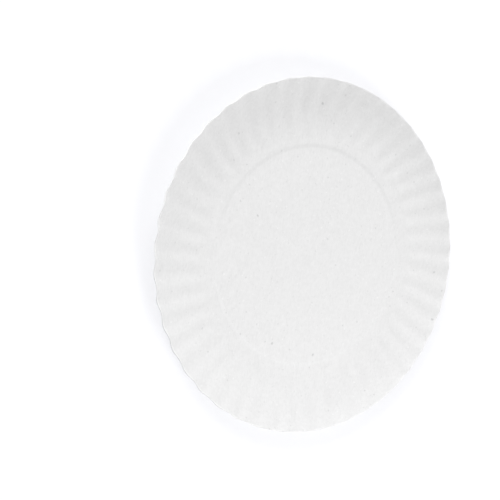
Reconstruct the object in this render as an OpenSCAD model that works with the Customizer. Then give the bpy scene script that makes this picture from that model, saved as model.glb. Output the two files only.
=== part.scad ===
// Shallow round plate, pressed from one disc of rough uncoated paper board.
// A flat middle, a small stepped fold round it, a level ledge, and a wall that steepens
// from the ledge to a fluted rim.
// Millimetres, +Z up. The origin is the centre of the underside.
// At the cut edge a crest lies on +X.

/* [Plate] */
// Diameter of the upper face at the cut edge, midway between crests and valleys
plate_d = 230; // [200:1:280]
// Diameter of the flat middle, out to the foot of the fold
well_d = 141.6; // [110:0.1:160]
// Height of the cut edge above the flat middle, between the two upper faces
rim_h = 9; // [4:0.5:20]
// Thickness of the board
board_t = 0.5; // [0.3:0.05:1]

/* [Fold and ledge round the middle] */
// Height of the small step that the fold makes
fold_h = 0.35; // [0.2:0.05:1.5]
// Width of that step
fold_w = 3; // [0.8:0.1:5]
// Width of the level ledge outside the fold
ledge_w = 5.2; // [1:0.1:12]

/* [Wall] */
// How late the wall steepens: 1 is a straight cone, 2 a parabola
wall_curve = 2.35; // [1:0.05:3]

/* [Flutes] */
// Number of flutes round the rim
flutes = 45; // [30:1:48]
// Height of a flute across the wall, from valley to crest
flute_h = 0.45; // [0.2:0.05:2]
// Height of a flute at the cut edge
edge_flute_h = 1.1; // [0.2:0.05:2]
// Width outside the ledge over which the flutes come up
flute_rise_w = 10; // [2:0.5:20]
// Width inside the cut edge over which they deepen
flute_flare_w = 6; // [2:0.5:20]
// How far a crest's inner end runs ahead of its outer one, in degrees, counter-clockwise from above
flute_lean = 2.6; // [0:0.1:8]

/* [Hidden] */
// Steps round one flute, from crest to crest
flute_steps = 6;
// Bands of the wall, from the ledge to the cut edge
wall_bands = 6;
// Width of the flat ring that joins the wall to the middle
join_w = 4;
board_colour = [0.93, 0.93, 0.92];

rim_r = plate_d / 2;
well_r = well_d / 2;
fold_head_r = well_r + fold_w;
wall_start_r = fold_head_r + ledge_w;
wall_len = rim_r - wall_start_r;
around = flutes * flute_steps;

UPPER = 0;
UNDER = 1;

// The wall's upper face, [radius, height], at this share of the way from the ledge to the cut edge
function on_wall(share) = [
    wall_start_r + wall_len * share,
    board_t + fold_h + (rim_h - fold_h) * pow(share, wall_curve)
];

// The upper face's outline, [radius, height], from the flat middle to the cut edge
face = [
    [well_r - join_w, board_t],
    [well_r, board_t],
    [fold_head_r, board_t + fold_h],
    for (k = [0:wall_bands]) on_wall(k / wall_bands)
];
last = len(face) - 1;

// Slope of the outline between point k and the next one, in degrees
function slope_after(k) = atan2(face[k + 1].y - face[k].y, face[k + 1].x - face[k].x);

// Slopes on both sides of point k, where each end repeats the one slope it has
function slope_in(k) = slope_after(max(k - 1, 0));
function slope_out(k) = slope_after(min(k, last - 1));

// Direction square to the board at point k, and the board's mitred thickness along it
function slope_at(k) = (slope_in(k) + slope_out(k)) / 2;
function across(k) = [-sin(slope_at(k)), cos(slope_at(k))];
function mitre_t(k) = board_t / cos((slope_out(k) - slope_in(k)) / 2);

// Level distances of point k outside the ledge, which is 0 as far as the ledge, and inside the cut edge
function from_ledge(k) = max(face[k].x - wall_start_r, 0);
function from_edge(k) = rim_r - face[k].x;

// Share of the flutes' own height at point k, and share of what the cut edge adds to it
function risen(k) = 1 - pow(1 - min(from_ledge(k) / flute_rise_w, 1), 2);
function flared(k) = pow(max(1 - from_edge(k) / flute_flare_w, 0), 2);

// Half the height of a flute at point k
function flute_swing(k) = (flute_h * risen(k) + (edge_flute_h - flute_h) * flared(k)) / 2;

// Angle by which the wave at point k runs ahead of the one at the cut edge
function ahead(k) = flute_lean * (1 - from_ledge(k) / wall_len);

// Outline point k of one side, carried square to the board by the flute at this angle of the wave
function fluted(side, k, angle) =
    face[k] + across(k) * (flute_swing(k) * cos(angle * flutes) - (side == UNDER ? mitre_t(k) : 0));

function on_ring(p, angle) = [p.x * cos(angle), p.x * sin(angle), p.y];

// Number of the corner at ring k and step i in the list of corners
function corner(side, k, i) = (side * (last + 1) + k) * around + i % around;

// Two triangles for the patch a, b, c, d, whose corners run clockwise seen from outside
function patch(a, b, c, d) = [[a, b, c], [a, c, d]];

// The fold, the ledge and the fluted wall: one closed shell of board
module fluted_wall() {
    corners = [
        for (side = [UPPER, UNDER], k = [0:last], i = [0:around - 1])
            on_ring(fluted(side, k, 360 * i / around), 360 * i / around + ahead(k))
    ];
    upper_face = [
        for (k = [0:last - 1], i = [0:around - 1])
            each patch(corner(UPPER, k, i), corner(UPPER, k, i + 1),
                       corner(UPPER, k + 1, i + 1), corner(UPPER, k + 1, i))
    ];
    under_face = [
        for (k = [0:last - 1], i = [0:around - 1])
            each patch(corner(UNDER, k, i), corner(UNDER, k + 1, i),
                       corner(UNDER, k + 1, i + 1), corner(UNDER, k, i + 1))
    ];
    cut_edge = [
        for (i = [0:around - 1])
            each patch(corner(UPPER, last, i), corner(UPPER, last, i + 1),
                       corner(UNDER, last, i + 1), corner(UNDER, last, i))
    ];
    inner_edge = [
        for (i = [0:around - 1])
            each patch(corner(UPPER, 0, i), corner(UNDER, 0, i),
                       corner(UNDER, 0, i + 1), corner(UPPER, 0, i + 1))
    ];
    polyhedron(corners, concat(upper_face, under_face, cut_edge, inner_edge));
}

// The flat middle, which ends inside the flat ring of the wall
module flat_middle() {
    cylinder(h = board_t, r = well_r - join_w / 2, $fn = 180);
}

module plate() {
    color(board_colour)
        union() {
            flat_middle();
            fluted_wall();
        }
}

plate();
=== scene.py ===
"""Dresses the paper plate: pressed board, its uncoated finish, soft studio light and the camera.

The plate lies flat on its underside, with +Z up and a crest of its rim on +X. Sizes are in
metres and angles in degrees. An angle round the plate counts from +X towards +Y.
"""
import logging
import math
import random
from dataclasses import dataclass
from enum import Enum

import bmesh
import bpy
from mathutils import Matrix, Vector


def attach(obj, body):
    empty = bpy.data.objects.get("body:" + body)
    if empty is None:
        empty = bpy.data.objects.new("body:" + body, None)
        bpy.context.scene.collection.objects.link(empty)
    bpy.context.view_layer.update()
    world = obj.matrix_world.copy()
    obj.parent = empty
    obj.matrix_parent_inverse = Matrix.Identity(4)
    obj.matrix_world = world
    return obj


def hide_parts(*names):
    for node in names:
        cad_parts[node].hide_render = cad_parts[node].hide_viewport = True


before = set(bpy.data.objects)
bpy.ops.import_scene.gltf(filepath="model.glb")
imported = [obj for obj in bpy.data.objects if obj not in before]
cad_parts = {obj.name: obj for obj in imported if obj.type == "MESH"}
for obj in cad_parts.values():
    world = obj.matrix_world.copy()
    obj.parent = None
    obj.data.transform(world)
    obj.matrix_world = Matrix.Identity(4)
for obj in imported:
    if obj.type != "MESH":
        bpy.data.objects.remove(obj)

LOG = logging.getLogger("paper_plate")
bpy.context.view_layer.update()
MM = 0.001

Colour = tuple[float, float, float, float]
Socket = bpy.types.NodeSocket
WHITE: Colour = (1.0, 1.0, 1.0, 1.0)
BLACK: Colour = (0.0, 0.0, 0.0, 1.0)


def direction(bearing: float, height_angle: float) -> Vector:
    """Works out the way from the plate to something that stands round it.

    Args:
        bearing: angle round the plate.
        height_angle: angle above the floor.

    Returns:
        A unit vector.
    """
    turn, rise = math.radians(bearing), math.radians(height_angle)
    level = math.cos(rise)
    return Vector((math.cos(turn) * level, math.sin(turn) * level, math.sin(rise)))


def add_object(name: str, data: bpy.types.ID) -> bpy.types.Object:
    """Puts a mesh, a lamp or a camera into the scene.

    Args:
        name: the object's name.
        data: what the object shows.

    Returns:
        The new object, at the origin.
    """
    made = bpy.data.objects.new(name, data)
    bpy.context.scene.collection.objects.link(made)
    return made


def add_mesh(name: str, mesh: bmesh.types.BMesh) -> bpy.types.Object:
    """Puts a finished bmesh into the scene and frees it.

    Args:
        name: the object's name.
        mesh: the finished bmesh.

    Returns:
        The new object, at the origin.
    """
    data = bpy.data.meshes.new(name)
    mesh.to_mesh(data)
    mesh.free()
    return add_object(name, data)


class Side(Enum):
    """The two faces of the board, with the way each lies from the outline of the upper one."""

    UPPER = 0.0
    UNDER = -1.0


@dataclass(frozen=True)
class PlateShape:
    """The sizes of the pressed plate, as its maker would give them.

    wall_curve is how late the wall steepens, where 1 is a straight cone. flute_rise is the width
    outside the ledge over which the flutes come up, and flare_width the one inside the cut edge
    over which they deepen. flute_lean is how far a crest's inner end runs ahead of its outer one.
    The slope at a point is taken slope_step to each side of it.
    """

    rim_radius: float = 115 * MM
    middle_radius: float = 70.5 * MM
    rim_height: float = 9 * MM
    board: float = 0.5 * MM
    fold_height: float = 0.58 * MM
    fold_width: float = 3.6 * MM
    ledge_width: float = 4.9 * MM
    wall_curve: float = 2.35
    flutes: int = 45
    flute_height: float = 0.77 * MM
    flute_rise: float = 10 * MM
    edge_flute_height: float = 1.42 * MM
    flare_width: float = 7 * MM
    flute_lean: float = 2.6
    slope_step: float = 0.01 * MM

    @property
    def fold_head(self) -> float:
        """Radius of the fold's upper end."""
        return self.middle_radius + self.fold_width

    @property
    def wall_start(self) -> float:
        """Radius where the ledge ends and the wall and its flutes begin."""
        return self.fold_head + self.ledge_width

    @property
    def wall_length(self) -> float:
        """Level distance from the ledge to the cut edge."""
        return self.rim_radius - self.wall_start

    def height(self, radius: float) -> float:
        """Height of the upper face between crest and valley.

        Args:
            radius: distance from the plate's axis.

        Returns:
            The height above the underside of the flat middle.
        """
        if radius <= self.middle_radius:
            return self.board
        if radius < self.fold_head:
            share = (radius - self.middle_radius) / self.fold_width
            return self.board + self.fold_height * (1 - math.cos(math.pi * share)) / 2
        share = max(radius - self.wall_start, 0.0) / self.wall_length
        wall = (self.rim_height - self.fold_height) * share**self.wall_curve
        return self.board + self.fold_height + wall

    def swing(self, radius: float, deeper: float) -> float:
        """Half the height of a flute, which comes up outside the ledge and deepens at the cut edge.

        Args:
            radius: distance from the plate's axis.
            deeper: factor on its height across the wall, but not at the cut edge.

        Returns:
            The distance from the middle of the wave to a crest.
        """
        come_up = min(max((radius - self.wall_start) / self.flute_rise, 0.0), 1.0)
        flare = max(1 - (self.rim_radius - radius) / self.flare_width, 0.0)
        wall_height = self.flute_height * deeper
        flared = (self.edge_flute_height - wall_height) * flare**2
        return (wall_height * (1 - (1 - come_up) ** 2) + flared) / 2

    def slope(self, radius: float) -> float:
        """Slope of the upper face.

        Args:
            radius: distance from the plate's axis.

        Returns:
            The slope in radians, rising outwards.
        """
        inner = max(radius - self.slope_step, 0.0)
        outer = min(radius + self.slope_step, self.rim_radius)
        return math.atan2(self.height(outer) - self.height(inner), outer - inner)

    def square_to_board(self, radius: float) -> Vector:
        """Direction square to the board, as (outwards, 0, up), at a distance from the axis."""
        slope = self.slope(min(radius, self.rim_radius))
        return Vector((-math.sin(slope), 0.0, math.cos(slope)))


@dataclass(frozen=True)
class FluteWave:
    """The wave that runs round the wall, with the small unevenness of a pressed board.

    The press met the disc a little off its centre, so the wave's own centre lies beside the axis.
    The board gives more along give_bearing than square to it, so the flutes come out deeper there.
    The two spreads are the most that one flute differs, as shares of its depth and of its width.
    """

    shape: PlateShape
    centre: tuple[float, float] = (0.5 * MM, -0.97 * MM)
    give_bearing: float = 18.0
    give_share: float = 0.18
    depth_spread: float = 0.14
    place_spread: float = 0.05
    seed: int = 45

    def unevenness(self) -> list[tuple[float, float]]:
        """Draws each flute's own depth and place.

        Returns:
            One (depth factor, shift as a share of a flute) pair for each flute.
        """
        draw = random.Random(self.seed)
        return [
            (1 + draw.uniform(-1, 1) * self.depth_spread, draw.uniform(-1, 1) * self.place_spread)
            for _ in range(self.shape.flutes)
        ]

    def give(self, angle: float) -> float:
        """Factor on the flutes' depth at an angle round the plate, in radians."""
        return 1 + self.give_share * math.cos(2 * (angle - math.radians(self.give_bearing)))

    def lift(self, place: Vector, radius: float, uneven: list[tuple[float, float]]) -> float:
        """How far the wave carries the board from its outline.

        Args:
            place: a point of the board.
            radius: its distance from the axis.
            uneven: what unevenness() drew.

        Returns:
            The distance square to the board, above zero on a crest.
        """
        if radius <= self.shape.wall_start:
            return 0.0
        angle = math.atan2(place.y - self.centre[1], place.x - self.centre[0]) % math.tau
        inward = (self.shape.rim_radius - radius) / self.shape.wall_length
        turned = angle - math.radians(self.shape.flute_lean) * max(inward, 0.0)
        flute = turned / math.tau * self.shape.flutes
        first = math.floor(flute)
        blend = (1 - math.cos(math.pi * (flute - first))) / 2
        here, there = (uneven[n % self.shape.flutes] for n in (first, first + 1))
        depth = here[0] + (there[0] - here[0]) * blend
        shift = here[1] + (there[1] - here[1]) * blend
        swing = self.shape.swing(radius, self.give(angle))
        return swing * depth * math.cos(math.tau * (flute - shift))


@dataclass
class PressedBoard:
    """The plate's one piece: its section is spun to a dish, and the flutes are pressed in.

    middle_rings and ledge_rings are where rings of corners lie, as shares of the flat middle's
    radius and of the ledge's width. edge_support is how far inside the cut edge the last ring lies,
    and corners that are nearer to each other than weld are one.
    """

    shape: PlateShape
    wave: FluteWave
    steps_per_flute: int = 16
    middle_rings: tuple[float, ...] = (0.25, 0.5, 0.75, 0.94)
    fold_points: int = 9
    ledge_rings: tuple[float, ...] = (0.2, 0.6)
    wall_points: int = 15
    edge_support: float = 0.5 * MM
    edge_rounding: float = 0.19 * MM
    edge_segments: int = 2
    weld: float = 0.0005 * MM

    def radii(self) -> list[float]:
        """Chooses where the section gets its points.

        Returns:
            Distances from the axis, from the axis to the cut edge.
        """
        shape = self.shape
        middle = [0.0] + [shape.middle_radius * share for share in self.middle_rings]
        fold = [
            shape.middle_radius + shape.fold_width * n / self.fold_points
            for n in range(self.fold_points + 1)
        ]
        ledge = [shape.fold_head + shape.ledge_width * share for share in self.ledge_rings]
        reach = shape.wall_length - self.edge_support
        wall = [
            shape.wall_start + reach * n / self.wall_points for n in range(self.wall_points + 1)
        ]
        return middle + fold + ledge + wall + [shape.rim_radius]

    def face(self, side: Side, radii: list[float]) -> list[Vector]:
        """Carries the outline through the board to one of its faces.

        Args:
            side: the face.
            radii: distances from the axis.

        Returns:
            One point in the XZ plane for each distance.
        """
        return [
            Vector((radius, 0.0, self.shape.height(radius)))
            + self.shape.square_to_board(radius) * self.shape.board * side.value
            for radius in radii
        ]

    def section(self) -> list[Vector]:
        """Draws the board's section: out along the upper face, and back along the underside."""
        radii = self.radii()
        return self.face(Side.UPPER, radii) + self.face(Side.UNDER, radii[::-1])

    def spin_section(self, mesh: bmesh.types.BMesh) -> None:
        """Spins the section once round the axis and closes it at both poles.

        Args:
            mesh: an empty mesh, which gets the plain dish.
        """
        points = [mesh.verts.new(point) for point in self.section()]
        outline = [mesh.edges.new(pair) for pair in zip(points, points[1:])]
        bmesh.ops.spin(
            mesh, geom=points + outline, cent=(0, 0, 0), axis=(0, 0, 1), dvec=(0, 0, 0),
            angle=math.tau, steps=self.shape.flutes * self.steps_per_flute,
            use_merge=True, use_normal_flip=False, use_duplicate=False,
        )
        bmesh.ops.remove_doubles(mesh, verts=mesh.verts, dist=self.weld)
        bmesh.ops.recalc_face_normals(mesh, faces=mesh.faces)

    def round_cut_edge(self, mesh: bmesh.types.BMesh) -> None:
        """Takes the sharpness off both corners of the cut edge.

        Args:
            mesh: the plain dish.
        """
        corners = [self.face(side, [self.shape.rim_radius])[0] for side in Side]
        chosen = [
            edge for edge in mesh.edges
            if any(all(self.lies_on(vert.co, corner) for vert in edge.verts) for corner in corners)
        ]
        bmesh.ops.bevel(
            mesh, geom=chosen, offset=self.edge_rounding, offset_type="OFFSET", affect="EDGES",
            segments=self.edge_segments, profile=0.5, material=-1,
        )

    def lies_on(self, place: Vector, ring: Vector) -> bool:
        """Tells whether a corner of the dish lies on the circle that a section point draws."""
        away = math.hypot(math.hypot(place.x, place.y) - ring.x, place.z - ring.z)
        return away < self.weld

    def press_flutes(self, mesh: bmesh.types.BMesh) -> None:
        """Carries the wall square to itself, crest by crest.

        Args:
            mesh: the plain dish, which gets its flutes.
        """
        uneven = self.wave.unevenness()
        for vert in mesh.verts:
            radius = math.hypot(vert.co.x, vert.co.y)
            angle = math.atan2(vert.co.y, vert.co.x)
            lift = self.wave.lift(vert.co, radius, uneven)
            way = Matrix.Rotation(angle, 3, "Z") @ self.shape.square_to_board(radius)
            vert.co += way * lift

    def build(self) -> bpy.types.Object:
        """Models the plate.

        Returns:
            The finished object, at the origin.
        """
        mesh = bmesh.new()
        self.spin_section(mesh)
        self.round_cut_edge(mesh)
        self.press_flutes(mesh)
        for face in mesh.faces:
            face.smooth = True
        return add_mesh("pressed_board", mesh)


class NodeSheet:
    """Lays out the nodes of one material or world, and wires them by name."""

    MIX_FACTOR, MIX_FIRST_COLOUR, MIX_SECOND_COLOUR, MIX_RESULT = 0, 6, 7, 2

    def __init__(self, owner: bpy.types.Material | bpy.types.World) -> None:
        """Starts with an empty sheet.

        Args:
            owner: the material or world that the nodes belong to.
        """
        owner.use_nodes = True
        self.tree = owner.node_tree
        self.tree.nodes.clear()

    def node(self, kind: str, settings: dict | None = None, **inputs: object) -> bpy.types.Node:
        """Adds a node.

        Args:
            kind: the node's type, without its ShaderNode prefix.
            settings: the node's own properties.
            **inputs: a value or an output for each input, with spaces written as underscores.

        Returns:
            The new node.
        """
        made = self.tree.nodes.new("ShaderNode" + kind)
        for key, value in (settings or {}).items():
            setattr(made, key, value)
        for key, value in inputs.items():
            self.feed(made.inputs[key.replace("_", " ")], value)
        return made

    def feed(self, socket: Socket, value: object) -> None:
        """Sets an input, or links an output to it.

        Args:
            socket: the input.
            value: a value, or another node's output.
        """
        if isinstance(value, Socket):
            self.tree.links.new(value, socket)
        else:
            socket.default_value = value

    def calculate(self, operation: str, first: object, second: object) -> Socket:
        """Works out one sum.

        Args:
            operation: the Math node's operation.
            first: a value or an output.
            second: a value or an output.

        Returns:
            The result.
        """
        made = self.node("Math", {"operation": operation})
        self.feed(made.inputs[0], first)
        self.feed(made.inputs[1], second)
        return made.outputs[0]

    def span(self, value: Socket, low: float, high: float,
             start: float = 0.0, end: float = 1.0) -> Socket:
        """Maps low..high smoothly to start..end, held at both ends.

        Args:
            value: the output to map.
            low: the value that gives start.
            high: the value that gives end.
            start: the result up to low.
            end: the result from high on.

        Returns:
            The result.
        """
        made = self.node("MapRange", {"interpolation_type": "SMOOTHSTEP"}, Value=value,
                         From_Min=low, From_Max=high, To_Min=start, To_Max=end)
        return made.outputs["Result"]

    def darken(self, shade: object, mask: Socket, strength: float) -> Socket:
        """Takes a share of the light away where a mask is 1.

        Args:
            shade: the light so far, as a value or an output.
            mask: where it changes, from 0 to 1.
            strength: the share taken away, or added where it is below zero.

        Returns:
            The light that is left.
        """
        kept = self.calculate("SUBTRACT", 1.0, self.calculate("MULTIPLY", mask, strength))
        return self.calculate("MULTIPLY", shade, kept)

    def tint(self, colour: Colour, shade: Socket) -> Socket:
        """Multiplies a colour by a shade.

        Args:
            colour: the colour.
            shade: the share of it that is left.

        Returns:
            The shaded colour.
        """
        made = self.node("Mix", {"data_type": "RGBA", "blend_type": "MULTIPLY"})
        self.feed(made.inputs[self.MIX_FACTOR], 1.0)
        self.feed(made.inputs[self.MIX_FIRST_COLOUR], colour)
        self.feed(made.inputs[self.MIX_SECOND_COLOUR], shade)
        return made.outputs[self.MIX_RESULT]


@dataclass(frozen=True)
class Flecks:
    """One kind of fleck in the board: how far apart, how large and how much it darkens."""

    spacing: float
    radius: float
    strength: float


@dataclass(frozen=True)
class Fibres:
    """One kind of fibre in the board: its width, its directions and how much it darkens."""

    width: float
    turns: tuple[float, ...]
    strength: float


@dataclass(frozen=True)
class BoardFinish:
    """Rough, uncoated, off-white board with mottling, fibres and sparse grey and light flecks.

    The colour carries painted shade, a little darker from just inside the fold outwards, and a
    painted highlight, a little lighter at the cut edge. A strength is the share of the light that
    is taken away, or added below zero. A reach is a pair of distances from the axis, and the other
    ranges are parts of a noise's 0 to 1.
    """

    colour: Colour = (0.868, 0.867, 0.868, 1.0)
    mottle_size: float = 10 * MM
    mottle_layers: float = 2.0
    mottle_strength: float = 0.015
    felt_size: float = 2.2 * MM
    felt_layers: float = 3.0
    felt_strength: float = 0.044
    grain_roughness: float = 0.6
    grain_range: tuple[float, float] = (0.25, 0.75)
    fibres: tuple[Fibres, ...] = (
        Fibres(width=0.75 * MM, turns=(12.0, 74.0, 131.0), strength=0.030),
        Fibres(width=0.80 * MM, turns=(38.0, 101.0, 160.0), strength=-0.024),
    )
    fibre_stretch: float = 0.14
    fibre_layers: float = 1.0
    fibre_roughness: float = 0.5
    fibre_range: tuple[float, float] = (0.60, 0.74)
    flecks: tuple[Flecks, ...] = (
        Flecks(spacing=4.2 * MM, radius=0.72 * MM, strength=0.070),
        Flecks(spacing=5.0 * MM, radius=0.75 * MM, strength=-0.070),
        Flecks(spacing=9.0 * MM, radius=0.9 * MM, strength=0.13),
        Flecks(spacing=19.0 * MM, radius=1.3 * MM, strength=0.22),
    )
    fleck_core: float = 0.35
    fleck_unevenness: float = 1.1 * MM
    unevenness_layers: float = 1.0
    # Painted shade: the colour is a little darker from 66 mm outwards, over the fold, ledge and
    # wall.
    painted_wall_shade: float = 0.012
    painted_wall_shade_reach: tuple[float, float] = (66 * MM, 82 * MM)
    # Painted highlight: the colour is lighter on the outermost 0.6 mm of the rim and its cut edge.
    painted_edge_light: float = 0.09
    painted_edge_light_reach: tuple[float, float] = (114.1 * MM, 114.7 * MM)
    bump_height: float = 0.022 * MM
    roughness: float = 0.92
    gloss: float = 0.25

    def material(self) -> bpy.types.Material:
        """Makes the board's material.

        Returns:
            The material, which reads the plate's own coordinates.
        """
        material = bpy.data.materials.new("uncoated_board")
        sheet = NodeSheet(material)
        place = sheet.node("TexCoord").outputs["Object"]
        felt = self.grain(sheet, place, self.felt_size, self.felt_layers)
        mottle = self.grain(sheet, place, self.mottle_size, self.mottle_layers)
        radius = self.from_axis(sheet, place)
        # Painted shade on the fold, ledge and wall, darker from 66 mm outwards.
        pressed = sheet.span(radius, *self.painted_wall_shade_reach)
        # Painted highlight on the cut edge, lighter outside 114.1 mm from the axis.
        painted_edge_light_mask = sheet.span(radius, *self.painted_edge_light_reach)
        shade = sheet.darken(1.0, mottle, self.mottle_strength)
        # Paints the shade on the fold, ledge and wall.
        shade = sheet.darken(shade, pressed, self.painted_wall_shade)
        # Paints the highlight on the cut edge.
        shade = sheet.darken(shade, painted_edge_light_mask, -self.painted_edge_light)
        shade = sheet.darken(shade, felt, self.felt_strength)
        for kind in self.fibres:
            shade = sheet.darken(shade, self.streaks(sheet, place, kind), kind.strength)
        uneven = self.unsettle(sheet, place)
        for kind in self.flecks:
            shade = sheet.darken(shade, self.spots(sheet, uneven, kind), kind.strength)
        bump = sheet.node("Bump", Strength=1.0, Distance=self.bump_height, Height=felt)
        board = sheet.node(
            "BsdfPrincipled", Roughness=self.roughness, Specular_IOR_Level=self.gloss,
            Base_Color=sheet.tint(self.colour, shade), Normal=bump.outputs["Normal"],
        )
        sheet.node("OutputMaterial", Surface=board.outputs["BSDF"])
        return material

    def grain(self, sheet: NodeSheet, place: Socket, size: float, layers: float) -> Socket:
        """Lays noise of one grain size.

        Args:
            sheet: the material's nodes.
            place: the coordinates to read.
            size: the size of its largest grains.
            layers: how many finer layers lie on it.

        Returns:
            The noise, from 0 to 1.
        """
        noise = sheet.node("TexNoise", Vector=place, Scale=1 / size, Detail=layers,
                           Roughness=self.grain_roughness)
        return sheet.span(noise.outputs[0], *self.grain_range)

    def from_axis(self, sheet: NodeSheet, place: Socket) -> Socket:
        """Measures the level distance from the plate's axis.

        Args:
            sheet: the material's nodes.
            place: the coordinates to read.

        Returns:
            The distance.
        """
        level = sheet.node("Mapping", Vector=place, Scale=(1.0, 1.0, 0.0))
        radius = sheet.node("VectorMath", {"operation": "LENGTH"})
        sheet.feed(radius.inputs[0], level.outputs[0])
        return radius.outputs["Value"]

    def streaks(self, sheet: NodeSheet, place: Socket, kind: Fibres) -> Socket:
        """Lays short fibres in a few directions.

        Args:
            sheet: the material's nodes.
            place: the coordinates to read.
            kind: the fibres to lay.

        Returns:
            A mask that is 1 on a fibre.
        """
        mask: object = 0.0
        for turn in kind.turns:
            along = sheet.node("Mapping", Vector=place, Rotation=(0.0, 0.0, math.radians(turn)),
                               Scale=(self.fibre_stretch, 1.0, 1.0))
            streak = sheet.node("TexNoise", Vector=along.outputs[0], Scale=1 / kind.width,
                                Detail=self.fibre_layers, Roughness=self.fibre_roughness)
            fibre = sheet.span(streak.outputs[0], *self.fibre_range)
            mask = sheet.calculate("MAXIMUM", mask, fibre)
        return mask

    def unsettle(self, sheet: NodeSheet, place: Socket) -> Socket:
        """Shifts the coordinates unevenly, so that round flecks come out ragged.

        Args:
            sheet: the material's nodes.
            place: the coordinates to read.

        Returns:
            The shifted coordinates.
        """
        noise = sheet.node("TexNoise", Vector=place, Scale=1 / self.fleck_unevenness,
                           Detail=self.unevenness_layers)
        shifted = sheet.node("VectorMath", {"operation": "MULTIPLY_ADD"})
        sheet.feed(shifted.inputs[0], noise.outputs["Color"])
        sheet.feed(shifted.inputs[1], (self.fleck_unevenness,) * 3)
        sheet.feed(shifted.inputs[2], place)
        return shifted.outputs[0]

    def spots(self, sheet: NodeSheet, place: Socket, kind: Flecks) -> Socket:
        """Scatters flecks through the board.

        Args:
            sheet: the material's nodes.
            place: the coordinates to read.
            kind: the flecks to scatter.

        Returns:
            A mask that is 1 inside a fleck.
        """
        cells = sheet.node("TexVoronoi", {"feature": "F1"}, Vector=place, Scale=1 / kind.spacing)
        share = kind.radius / kind.spacing
        return sheet.span(cells.outputs["Distance"], share * self.fleck_core, share, 1.0, 0.0)


@dataclass(frozen=True)
class PhotoCamera:
    """The camera, where the photograph's stood to the plate.

    bearing is where it stands round the plate, height_angle how high above the flat middle, and
    roll turns the picture, so that the plate's axis leans to the right in it. distance, aside and
    above are in rim radii, and place the middle of the rim in the picture. focal_pixels is the
    focal length in pixels of a picture that is picture_pixels wide.
    """

    shape: PlateShape
    bearing: float = 272.05
    height_angle: float = 59.89
    roll: float = 98.73
    distance: float = 4.17
    aside: float = 0.395
    above: float = -0.041
    focal_pixels: float = 739.0
    picture_pixels: float = 500.0
    sensor_width: float = 36.0

    def axes(self) -> tuple[Vector, Vector, Vector]:
        """Works out the camera's axes.

        Returns:
            Its right, its up and its back, as unit vectors.
        """
        turn, roll = math.radians(self.bearing), math.radians(self.roll)
        back = direction(self.bearing, self.height_angle)
        level = Vector((-math.sin(turn), math.cos(turn), 0.0))
        upright = back.cross(level)
        right = level * math.cos(roll) + upright * math.sin(roll)
        return right, back.cross(right), back

    def build(self) -> bpy.types.Object:
        """Makes the scene's camera.

        Returns:
            The camera.
        """
        right, up, back = self.axes()
        rim = self.shape.rim_radius
        centre = Vector((0.0, 0.0, self.shape.height(rim)))
        place = centre + (back * self.distance - right * self.aside - up * self.above) * rim
        data = bpy.data.cameras.new("photo_camera")
        data.sensor_width = self.sensor_width
        data.lens = self.focal_pixels / self.picture_pixels * self.sensor_width
        camera = add_object("photo_camera", data)
        turn = Matrix((right, up, back)).transposed()
        camera.matrix_world = Matrix.Translation(place) @ turn.to_4x4()
        bpy.context.scene.camera = camera
        return camera


@dataclass(frozen=True)
class Softbox:
    """One square area lamp that looks at the plate.

    light is how bright the lamp alone makes a level white sheet at the plate, where 1 is white.
    """

    name: str
    bearing: float
    height_angle: float
    distance: float
    width: float
    light: float

    def build(self) -> bpy.types.Object:
        """Hangs the lamp, which the camera looks through.

        Returns:
            The lamp.
        """
        way = direction(self.bearing, self.height_angle)
        data = bpy.data.lights.new(self.name, "AREA")
        data.shape = "SQUARE"
        data.size = self.width
        slant = math.sin(math.radians(self.height_angle))
        data.energy = self.light * math.pi**2 * self.distance**2 / slant
        lamp = add_object(self.name, data)
        lamp.location = way * self.distance
        lamp.rotation_euler = way.to_track_quat("Z", "Y").to_euler()
        lamp.visible_camera = False
        return lamp


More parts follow.
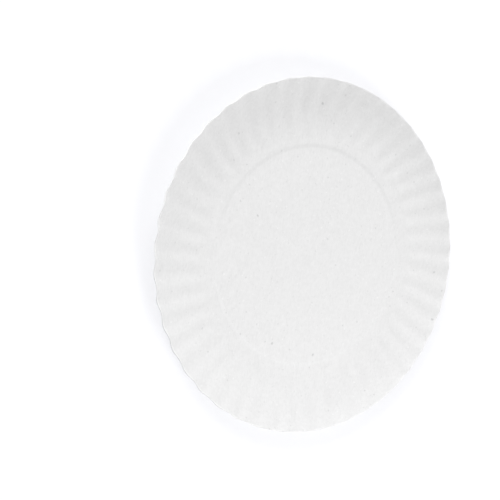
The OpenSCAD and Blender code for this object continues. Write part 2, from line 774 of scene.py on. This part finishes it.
@dataclass(frozen=True)
class Studio:
    """A pale floor that shows white, a plain white surround, and soft lamps on two sides.

    surround is the surround's strength as a light. To the camera the floor shows floor_share of
    the light that falls on it and glows by floor_lift, so that it is white but keeps the shadow.
    """

    lamps: tuple[Softbox, ...] = (
        Softbox("key_softbox", bearing=220.0, height_angle=21.0, distance=5.0, width=1.9,
                light=0.228),
        Softbox("side_softbox", bearing=180.0, height_angle=21.0, distance=5.0, width=1.9,
                light=0.102),
        Softbox("fill_softbox", bearing=40.0, height_angle=25.0, distance=5.0, width=1.9,
                light=0.222),
        Softbox("reflector", bearing=12.5, height_angle=15.0, distance=0.30, width=0.14,
                light=0.050),
    )
    surround: float = 0.421
    floor_width: float = 4.0
    floor_gap: float = 0.2 * MM
    floor_colour: Colour = (0.86, 0.86, 0.86, 1.0)
    floor_glow: Colour = (0.955, 0.96, 1.0, 1.0)
    floor_share: float = 0.5
    floor_lift: float = 0.65

    def floor(self) -> bpy.types.Object:
        """Lays the floor just under the plate.

        Returns:
            The floor, marked as stage.
        """
        mesh = bmesh.new()
        bmesh.ops.create_grid(mesh, x_segments=1, y_segments=1, size=self.floor_width / 2)
        bmesh.ops.translate(mesh, verts=mesh.verts, vec=(0.0, 0.0, -self.floor_gap))
        floor = add_mesh("studio_floor", mesh)
        floor.data.materials.append(self.floor_material())
        return floor

    def floor_material(self) -> bpy.types.Material:
        """Makes a floor that shows white where it is lit, and keeps the shadow.

        Returns:
            The floor's material.
        """
        material = bpy.data.materials.new("studio_floor")
        sheet = NodeSheet(material)
        seen = self.seen(sheet)
        paper = sheet.node("BsdfDiffuse", Color=self.floor_colour)
        nothing = sheet.node("BsdfDiffuse", Color=BLACK)
        thinner = sheet.node("MixShader")
        sheet.feed(thinner.inputs[0], sheet.calculate("MULTIPLY", seen, 1 - self.floor_share))
        sheet.feed(thinner.inputs[1], paper.outputs[0])
        sheet.feed(thinner.inputs[2], nothing.outputs[0])
        glow = sheet.node("Emission", Color=self.floor_glow,
                          Strength=sheet.calculate("MULTIPLY", seen, self.floor_lift))
        both = sheet.node("AddShader")
        sheet.feed(both.inputs[0], thinner.outputs[0])
        sheet.feed(both.inputs[1], glow.outputs[0])
        sheet.node("OutputMaterial", Surface=both.outputs[0])
        return material

    def seen(self, sheet: NodeSheet) -> Socket:
        """Tells camera, glossy and transmitted rays from those that light the plate.

        Args:
            sheet: the nodes of the floor or the surround.

        Returns:
            1 for a ray that the camera sees, and 0 for one that lights something.
        """
        path = sheet.node("LightPath").outputs
        mirrored = sheet.calculate("MAXIMUM", path["Is Glossy Ray"], path["Is Transmission Ray"])
        return sheet.calculate("MAXIMUM", path["Is Camera Ray"], mirrored)

    def world(self) -> bpy.types.World:
        """Makes the surround: white to the camera, and dimmer as a light.

        Returns:
            The world.
        """
        world = bpy.data.worlds.new("studio_surround")
        sheet = NodeSheet(world)
        strength = sheet.node("MapRange", Value=self.seen(sheet), To_Min=self.surround, To_Max=1.0)
        glow = sheet.node("Background", Color=WHITE, Strength=strength.outputs["Result"])
        sheet.node("OutputWorld", Surface=glow.outputs[0])
        bpy.context.scene.world = world
        return world

    def build(self) -> None:
        """Sets up the floor, the surround and the lamps."""
        self.floor()
        self.world()
        for lamp in self.lamps:
            lamp.build()


def main() -> None:
    """Builds the plate, its studio and the camera in order, and reports each."""
    logging.basicConfig(level=logging.INFO, format="%(message)s")
    bpy.context.scene.view_settings.view_transform = "Standard"
    shape = PlateShape()
    plate = PressedBoard(shape, FluteWave(shape)).build()
    plate.data.materials.append(BoardFinish().material())
    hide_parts("plate")
    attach(plate, "root")
    LOG.info("pressed board: %d faces", len(plate.data.polygons))
    Studio().build()
    LOG.info("studio: floor, surround and softboxes")
    camera = PhotoCamera(shape).build()
    LOG.info("camera: %.0f mm lens at %.2f m", camera.data.lens, camera.location.length)


if __name__ == "__main__":
    main()
